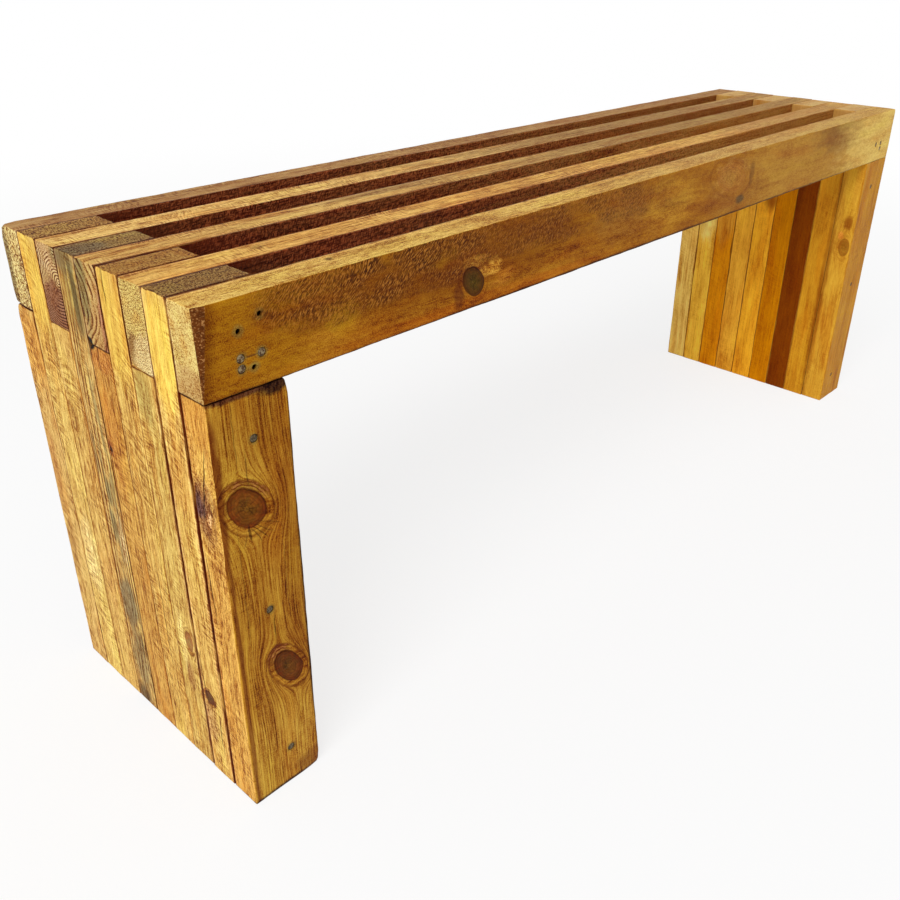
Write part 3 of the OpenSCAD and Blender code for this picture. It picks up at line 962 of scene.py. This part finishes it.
def draw_knot(timber, tone, height, knot, distance, along, aside):
    """A knot's mottled heart, its bark, and the collar of rings that closes round it."""
    radius = knot.radius
    near_face = timber.inset(knot.axis).step(8, 5)
    angle = math.radians(knot.shade_at)
    ripple = (timber.noise(7, 4, 4, detail=3) - 0.5) * radius * 0.3
    reach = (distance + ripple) / radius
    inside = distance.step(radius + 0.6, radius - 0.6) * near_face
    line = (reach / 0.17).fraction().step(0.4, 0.95)
    around = near_face * knot.swirl
    towards = (along * math.sin(angle) + aside * math.cos(angle)) / (distance + 1)

    mottle = timber.noise(4, 4, 4, detail=3)
    mottled = mottle.step(0.44, 0.56)

    outside = reach.step(1.75, 1.1) * around
    tone = timber.tint(tone, (1.15, 1.14, 1.1, 1), outside * (1 - line) * 0.6)
    tone = timber.tint(tone, (0.5, 0.3, 0.15, 1), outside * line * 0.65)
    tone = timber.tint(tone, (0.4, 0.2, 0.08, 1), abs(reach - 1.42).step(0.09, 0.03) * around * 0.7)
    crescent = abs(reach - 1.24).step(0.3, 0.08) * towards.step(0.4, 0.85) * around * knot.shade
    tone = timber.cover(tone, (98, 32, 8), crescent * (0.65 + line * 0.35))
    tone = timber.cover(tone, (216, 140, 84), crescent * line.step(0.3, 0.1) * mottled * 0.4)

    heart = timber.tint(paint(*knot.core), (0.72, 0.85, 0.7, 1), mottle.step(0.45, 0.6) * 0.8)
    heart = timber.tint(heart, (1.5, 1.45, 1.2, 1), mottle.step(0.46, 0.34) * 0.5)
    heart = timber.tint(heart, (0.85, 1.12, 0.9, 1), reach.step(0.65, 0.2) * 0.8)
    heart = timber.tint(heart, (0.55, 0.4, 0.28, 1), line * 0.45)
    heart = timber.tint(heart, (0.8, 0.42, 0.3, 1), reach.step(0.55, 0.95) * 0.75)
    heart = timber.tint(heart, (1.6, 1.7, 1.9, 1), reach.step(0.16, 0.06) * 0.6)
    bearing = timber.combine(along / (distance + 0.5), aside / (distance + 0.5), distance / radius * 0.4)
    rays = timber.raw_noise(timber.vector("SCALE", bearing, scale=3.5))
    split = rays.step(0.55, 0.62) * distance.step(radius * 0.85, radius * 0.2) * near_face
    tone = timber.tint(tone, heart, inside * knot.heart, "MIX")
    tone = timber.tint(tone, (0.3, 0.18, 0.1, 1), split * knot.heart * 0.65)
    bark = abs(distance - radius).step(radius * 0.12, 0.2) * near_face * (towards * 0.35 + 0.55) * knot.bark
    tone = timber.tint(tone, BURNT, bark)
    return tone, height - bark * 0.35 + inside * line * 0.1 - crescent * 0.2


def draw_crack(timber, tone, height, crack):
    """A split along the grain, on the face that its middle is nearest to."""
    faces = [axis for axis in range(3) if axis != timber.grain]
    offsets = {axis: abs(abs(crack.place[axis] - timber.centre[axis]) - timber.half[axis]) for axis in faces}
    face = min(faces, key=offsets.get)
    side = [axis for axis in faces if axis != face][0]
    along = timber.place[timber.grain] - crack.place[timber.grain]
    reach = along / (crack.length / 2)
    wobble = (timber.noise(18, 9, 9, detail=3) - 0.5) * 5
    aside = timber.place[side] - crack.place[side] + wobble - along * crack.lean
    gape = (1 - reach * reach) * (crack.width / 2) - abs(aside)
    split = gape.step(-0.35, 0.25) * abs(timber.place[face] - crack.place[face]).step(4, 3)
    return timber.tint(tone, (0.12, 0.05, 0.02, 1), split * crack.dark), height - split * crack.dark


def bare_wane(timber, tone):
    """The rough dark flat where the board ran out to bark."""
    point, normal = timber.look.wane
    normal = Vector(normal).normalized()
    off = timber.vector("SUBTRACT", timber.combine(*timber.place), tuple(point))
    beyond = add_node(
        timber.tree, "ShaderNodeVectorMath", {"operation": "DOT_PRODUCT"}, [off, tuple(normal)], output=1
    )
    bare = abs(beyond).step(0.5, 0.25)
    flecks = timber.noise(2.0, 1.2, 1.2, detail=2).step(0.52, 0.66)
    rough = timber.tint(paint(104, 54, 16), paint(204, 146, 84), flecks * 0.65, "MIX")
    rough = timber.cover(rough, (74, 34, 8), timber.noise(4, 3, 3, detail=2).step(0.5, 0.62) * 0.6)
    tone = timber.tint(tone, rough, bare, "MIX")
    beside = beyond.step(-3.0, -0.4) * (1 - bare) * timber.wide_face
    return timber.tint(tone, (0.45, 0.28, 0.16, 1), beside * 0.7)


def close_joints(timber, tone):
    """Grime and painted shade along the joints with the next layers and at the seat, a painted highlight on a
    pale lip beside each joint, and arrises rubbed pale, partly wear and partly painted highlight.
    """
    place, look = timber.place, timber.look
    uneven = (timber.noise(9, 4, 4, detail=3) - 0.5) * 2.6
    fading = 1 - place[ALONG].step(-300, 300) * 0.88
    broken = timber.noise(45, 12, 12, detail=2).step(0.3, 0.5) * 0.5 + 0.5
    beside_seat = place[UP].step(UNDER_SEAT - 4, UNDER_SEAT + 4)
    # Arrises rubbed pale, partly wear and partly a painted highlight, most on the legs' top edges
    rim_wear_and_highlight = (insets_middle(timber) + uneven * 0.6).step(1.1, 0.2)
    if timber.grain == UP:
        rim_wear_and_highlight = rim_wear_and_highlight + place[UP].step(SEAT_HEIGHT - 1.5, SEAT_HEIGHT) * timber.insets[ALONG].step(1.6, 0.8) * 2
    tone = timber.tint(tone, (1.25, 1.32, 1.3, 1), rim_wear_and_highlight * look.rim_wear_and_highlight)
    on_top = place[UP].step(SEAT_HEIGHT - 3, SEAT_HEIGHT - 1)
    layer = round((timber.centre[ACROSS] - FRONT + timber.half[ACROSS]) / (2 * timber.half[ACROSS]))
    for joint, side in ((layer - 1, -1), (layer, 1)):
        if joint in JOINTS:
            dark, low_reach, high_reach = JOINTS[joint]
            dark = beside_seat * (0.95 - dark) + dark
            reach = (low_reach + beside_seat * (high_reach - low_reach)) * (on_top * 0.8 + 1)
            depth = (timber.depth(side) + uneven * 0.6) / reach
            here = fading * dark * broken * (1 - timber.inner)
            # A painted highlight on a pale lip beside each joint, then grime and painted shade in the joint
            tone = timber.tint(tone, (1.15, 1.12, 1.3, 1), depth.step(2.0, 1.3) * here)
            tone = timber.tint(tone, GRIME_AND_SHADE, depth.step(1.05, 0.35) * here)
    # Painted shade along the line where the seat's underside meets the leg boards
    seam = (abs(place[UP] - UNDER_SEAT) + uneven * 0.6).step(1.7, 0.3) * (1 - place[ALONG].step(-300, 300))
    if abs(timber.centre[UP] - SEAT_HEIGHT / 2) > 1:
        tone = timber.tint(tone, GRIME_AND_SHADE, seam * look.seam)
    return tone


def insets_middle(timber):
    """The middle one of the depths below the three pairs of faces, which is small near an arris."""
    smaller = timber.insets[0].least(timber.insets[1])
    larger = timber.insets[0].most(timber.insets[1])
    return smaller.most(larger.least(timber.insets[2]))


def wood(name, look):
    """Oiled softwood with growth rings, fibre, saw marks, knots and stains."""
    material = new_material(name)
    timber = Timber(material.node_tree, name, look)
    away, knots = find_knots(timber)
    tone, torn = stain(timber, base_tone(timber))
    tone, height = draw_grain(timber, tone, torn, ring_lines(timber, away))
    if look.hatched:
        tone, height = hatch(timber, tone, height)
    if look.inner_faces:
        tone, height = score(timber, tone, height)
    for knot in knots:
        tone, height = draw_knot(timber, tone, height, *knot)
    for crack in look.cracks:
        tone, height = draw_crack(timber, tone, height, crack)
    if look.wane:
        tone = bare_wane(timber, tone)
    tone = close_joints(timber, tone)
    # Painted shade darkens the insides of the nail pockets and holes
    deepest = timber.insets[0].least(timber.insets[1]).least(timber.insets[2])
    tone = timber.tint(tone, (0.06, 0.03, 0.02, 1), deepest.step(1.6, 3.0))
    rough = 0.55 - timber.wide_face * 0.08
    finish(material.node_tree, tone, rough, height, {"Specular IOR Level": 0.04})
    return material


def finish(tree, tone, rough, height, constants):
    """The shader that every material ends in. Heights are in millimetres."""
    bump = add_node(tree, "ShaderNodeBump", {}, {"Strength": 1.0, "Distance": MM, "Height": height})
    inputs = {"Base Color": tone, "Roughness": rough, "Normal": bump, **constants}
    shader = add_node(tree, "ShaderNodeBsdfPrincipled", {}, inputs)
    add_node(tree, "ShaderNodeOutputMaterial", {}, {"Surface": shader})


def steel():
    """Dull grey nail steel with specks of rust."""
    material = new_material("nail_steel")
    tree = material.node_tree
    where = add_node(tree, "ShaderNodeTexCoord", {}, {}, output="Object")
    specks = add_node(tree, "ShaderNodeTexNoise", {}, {"Vector": where, "Scale": 700.0, "Detail": 3.0})
    tone = mix(tree, paint(152, 134, 100), paint(82, 54, 28), specks.step(0.42, 0.6))
    height = add_node(tree, "ShaderNodeSeparateXYZ", {}, [where], output="Z")
    tone = mix(tree, tone, paint(62, 54, 34), height.step(UNDER_SEAT * MM, (UNDER_SEAT - 8) * MM) * 0.6)
    finish(tree, tone, 0.45 + specks * 0.3, specks * 0.2, {"Metallic": 0.5})
    return material


# Boards

GRID_STEP = 3.5 * MM
THICK_CELLS = 10
LATERAL_CELLS = 14
END_ZONE = 12 * MM
ARRIS = 0.9 * MM
HOLE_SIDES = 24


@dataclass
class Wear:
    """Extra rounding of the arrises near a place, in millimetres."""
    place: tuple
    reach: tuple
    depth: float


OUTER_CORNER = 3.2
WORM_HOLE, WORM_BORE = (14.4, 314.8), (1.4, 9)
MOST_TRIM = 0.7
NAIL_SET = 0.3
NAIL_HEAD = [(0, 0.05), (1.6, 0.1), (2.8, 0.3), (3.5, 0.65), (3.7, 1.0), (3.5, 1.4)]
NAIL_SHANK = [(1.7, 1.5), (1.7, 55), (0, 60)]
JOINT_1, JOINT_2 = FRONT + 35.1, FRONT + 70.3

WEARS = {
    "seat_slat_1": [Wear((RIGHT, FRONT, SEAT_HEIGHT), (12, 12, 12), 2.0)],
    "seat_slat_3": [Wear((LEFT, 17.5, UNDER_SEAT), (9, 7, 9), 3.6)],
    "seat_slat_5": [
        Wear((LEFT, BACK, SEAT_HEIGHT), (14, 14, 14), OUTER_CORNER),
        Wear((LEFT, BACK, UNDER_SEAT), (16, 16, 12), 2.6),
    ],
    "left_leg_short_1": [
        Wear((LEFT + LEG_DEPTH, FRONT, UNDER_SEAT), (16, 30, 14), 3.6),
        Wear((LEFT + 38, FRONT, UNDER_SEAT), (60, 8, 10), 1.2),
        Wear((LEFT, JOINT_1, 290), (20, 6, 190), 2.0),
        Wear((LEFT + LEG_DEPTH, FRONT, 0), (18, 30, 18), 3.2),
        Wear((LEFT, FRONT, 190), (12, 12, 300), 1.0),
    ],
    "left_leg_tall_1": [
        Wear((LEFT, JOINT_1, 290), (20, 6, 190), 1.6),
        Wear((LEFT, JOINT_2, 290), (20, 6, 200), 2.2),
    ],
    "left_leg_short_2": [Wear((LEFT, JOINT_2, 290), (20, 6, 200), 1.6)],
    "left_leg_short_3": [Wear((LEFT, 17.5, UNDER_SEAT), (9, 7, 9), 3.6)],
    "left_leg_short_5": [Wear((LEFT, BACK, UNDER_SEAT), (16, 16, 14), 3.0)],
}


def board_grid(low, high, grain):
    """A closed box of quads, finer towards its arrises and its ends."""
    half = (high - low) / 2
    centre = (high + low) / 2
    cells = [LATERAL_CELLS] * 3
    cells[ACROSS] = THICK_CELLS
    cells[grain] = round(2 * half[grain] / GRID_STEP)
    bm = bmesh.new()
    bmesh.ops.create_cube(bm, size=2)
    for axis in range(3):
        lines = [e for e in bm.edges if abs(e.verts[0].co[axis] - e.verts[1].co[axis]) > 1]
        bmesh.ops.subdivide_edges(bm, edges=lines, cuts=cells[axis] - 1, use_grid_fill=True)
    for vert in bm.verts:
        for axis in range(3):
            depth = (1 - abs(vert.co[axis])) * half[axis]
            if axis != grain:
                depth = depth * depth / half[axis]
            elif depth < END_ZONE:
                depth = depth * depth / END_ZONE
            vert.co[axis] = math.copysign(half[axis] - depth, vert.co[axis]) + centre[axis]
    return bm


def wear_board(bm, name, low, high, seed):
    """Rounds the arrises by an uneven radius, and hollows the faces a little."""
    half = (high - low) / 2
    centre = (high + low) / 2
    offset = Vector((3.1, 7.7, 1.3)) * seed
    for vert in bm.verts:
        at = vert.co.copy()
        place = at - centre
        waves = ((0.9, 20), (1.0, 55), (0.5, 190))
        uneven = sum(size * noise.noise(at * pace + offset) for size, pace in waves)
        round_off = max(0.25 * MM, ARRIS * (1 + 0.8 * uneven))
        for wear in WEARS.get(name, []):
            off = Vector((at[i] / MM - wear.place[i]) / wear.reach[i] for i in range(3))
            near = max(0.0, 1 - off.length_squared)
            round_off += wear.depth * MM * near * near * (1 + 0.3 * uneven)
        core = Vector(
            max(-half[axis] + round_off, min(half[axis] - round_off, place[axis])) for axis in range(3)
        )
        out = place - core
        if out.length > 1e-9:
            hollow = 0.2 * MM * (1 + noise.noise(at * 20 - offset))
            hollow += 0.04 * MM * (1 + noise.noise(at * 140 + offset))
            place = core + out * ((round_off - hollow) / out.length)
        vert.co = centre + place


def shave(bm, point, normal):
    """Takes off all that lies beyond a plane, and leaves a slightly rough flat."""
    normal = normal.normalized()
    everything = bm.verts[:] + bm.edges[:] + bm.faces[:]
    bmesh.ops.bisect_plane(bm, geom=everything, dist=1e-7, plane_co=point, plane_no=normal)
    for vert in bm.verts:
        beyond = (vert.co - point).dot(normal)
        if beyond > 0:
            roughness = 0.08 * MM * (1 + noise.noise(vert.co * 400))
            vert.co -= normal * (beyond + roughness)


def trims(name, seed):
    """How far each face of a board stands back, so that neighbours are not quite flush."""
    draw = random.Random(int(seed))
    low = [draw.uniform(0, MOST_TRIM) * MM for _ in range(3)]
    high = [draw.uniform(0, MOST_TRIM) * MM for _ in range(3)]
    low[ACROSS] = high[ACROSS] = 0
    low[UP] = 0
    if "short" in name:
        high[UP] = 0
    if name in ("seat_slat_1", "left_leg_tall_1", "right_leg_tall_1"):
        low, high = [0, 0, 0], [0, 0, 0]
    return Vector(low), Vector(high)


def cylinder_along(bm, centre, axis, radius, length):
    """A closed cylinder about a point, along a row axis."""
    turn = {ALONG: Matrix.Rotation(math.pi / 2, 4, "Y"), ACROSS: Matrix.Rotation(math.pi / 2, 4, "X")}
    bmesh.ops.create_cone(
        bm,
        cap_ends=True,
        segments=HOLE_SIDES,
        radius1=radius,
        radius2=radius,
        depth=length,
        matrix=Matrix.Translation(centre) @ turn[axis],
    )


def drill(piece, holes):
    """Cuts round holes into a board. A hole is its mouth, its axis, its radius and its depth."""
    bm = bmesh.new()
    for mouth, axis, radius, depth in holes:
        cylinder_along(bm, Vector(mouth) * MM, axis, radius * MM, 2 * depth * MM)
    mesh = mesh_from(bm, "drill")
    cutter = add_object("drill", mesh)
    cut = piece.modifiers.new("holes", "BOOLEAN")
    cut.operation = "DIFFERENCE"
    cut.solver = "EXACT"
    cut.object = cutter
    graph = bpy.context.evaluated_depsgraph_get()
    drilled = bpy.data.meshes.new_from_object(piece.evaluated_get(graph))
    piece.modifiers.clear()
    plain, piece.data = piece.data, drilled
    bpy.data.meshes.remove(plain)
    bpy.data.objects.remove(cutter)
    bpy.data.meshes.remove(mesh)


def holes_in(name):
    """The pockets round the nail heads of the front face, and the old nail holes."""
    if name == "seat_slat_1":
        holes = [((LEFT + x, FRONT, z), ACROSS, *OLD_HOLE) for x, z in OLD_HOLES]
        for x, z in FACE_NAILS[:3]:
            holes += [((along, FRONT, z), ACROSS, *POCKET) for along in (LEFT + x, RIGHT - x)]
        return holes
    if name == "left_leg_short_1":
        return [((LEFT + x, FRONT, z), ACROSS, *POCKET) for x, z in FACE_NAILS[3:]]
    if name == "right_leg_short_1":
        return [((RIGHT - x, FRONT, z), ACROSS, *POCKET) for x, z in FACE_NAILS[3:]]
    if name == "left_leg_short_3":
        return [((LEFT, *WORM_HOLE), ALONG, *WORM_BORE)]
    return []


def make_board(name, material):
    """One board of the bench, with its worn arrises and its holes, a little inside its CAD box."""
    low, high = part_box(name)
    seed = LOOKS[name].seed
    back_low, back_high = trims(name, seed)
    low, high = low + back_low, high - back_high
    grain = ALONG if name.startswith("seat") else UP
    bm = board_grid(low, high, grain)
    wear_board(bm, name, low, high, seed)
    if LOOKS[name].wane:
        point, normal = LOOKS[name].wane
        shave(bm, Vector(point) * MM, Vector(normal))
    bmesh.ops.recalc_face_normals(bm, faces=bm.faces[:])
    piece = add_object(name + "_board", mesh_from(bm, name + "_board"))
    holes = holes_in(name)
    if holes:
        drill(piece, holes)
    piece.data.shade_smooth()
    piece.data.set_sharp_from_angle(angle=math.radians(48))
    piece.data.materials.clear()
    piece.data.materials.append(material)
    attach(piece, "root")
    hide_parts(name)


def make_face_nails(side, material):
    """Wire nails with domed, hammered heads, in the pockets of the front face."""
    bm = bmesh.new()
    for x, z in FACE_NAILS:
        centre = Vector((LEFT + x if side == "left" else RIGHT - x, FRONT + NAIL_SET, z)) * MM
        verts = [bm.verts.new(centre + Vector((r, y, 0)) * MM) for r, y in NAIL_HEAD + NAIL_SHANK]
        edges = [bm.edges.new(pair) for pair in zip(verts, verts[1:])]
        bmesh.ops.spin(
            bm,
            geom=verts + edges,
            cent=centre,
            axis=(0, 1, 0),
            angle=math.tau,
            steps=HOLE_SIDES,
            use_merge=True,
        )
    bmesh.ops.remove_doubles(bm, verts=bm.verts[:], dist=1e-6)
    for vert in bm.verts:
        if vert.co.y < (FRONT + 2) * MM:
            dent = noise.noise(vert.co * 500) + 0.5 * noise.noise(vert.co * 1300)
            vert.co.y += 0.12 * MM * dent
    bmesh.ops.recalc_face_normals(bm, faces=bm.faces[:])
    mesh = mesh_from(bm, side + "_front_nails")
    mesh.shade_smooth()
    mesh.set_sharp_from_angle(angle=math.radians(60))
    mesh.materials.append(material)
    piece = add_object(side + "_front_nails", mesh)
    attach(piece, "root")
    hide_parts(side + "_face_nails")


make_camera()
make_softbox("key", (-5.9, -2.85, 7.1), (0, 0, 0.3), 5, 620)
make_world(0.48)
make_floor()
bpy.context.scene.view_settings.view_transform = "Standard"

for count, (board_name, board_look) in enumerate(LOOKS.items(), 1):
    board_look.seed = float(count)
    make_board(board_name, wood(board_name, board_look))

nail_steel = steel()
for end_name in ("left", "right"):
    make_face_nails(end_name, nail_steel)
for node_name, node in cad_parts.items():
    if node_name.endswith(("lap_nails", "leg_nails")):
        node.data.materials.clear()
        node.data.materials.append(nail_steel)
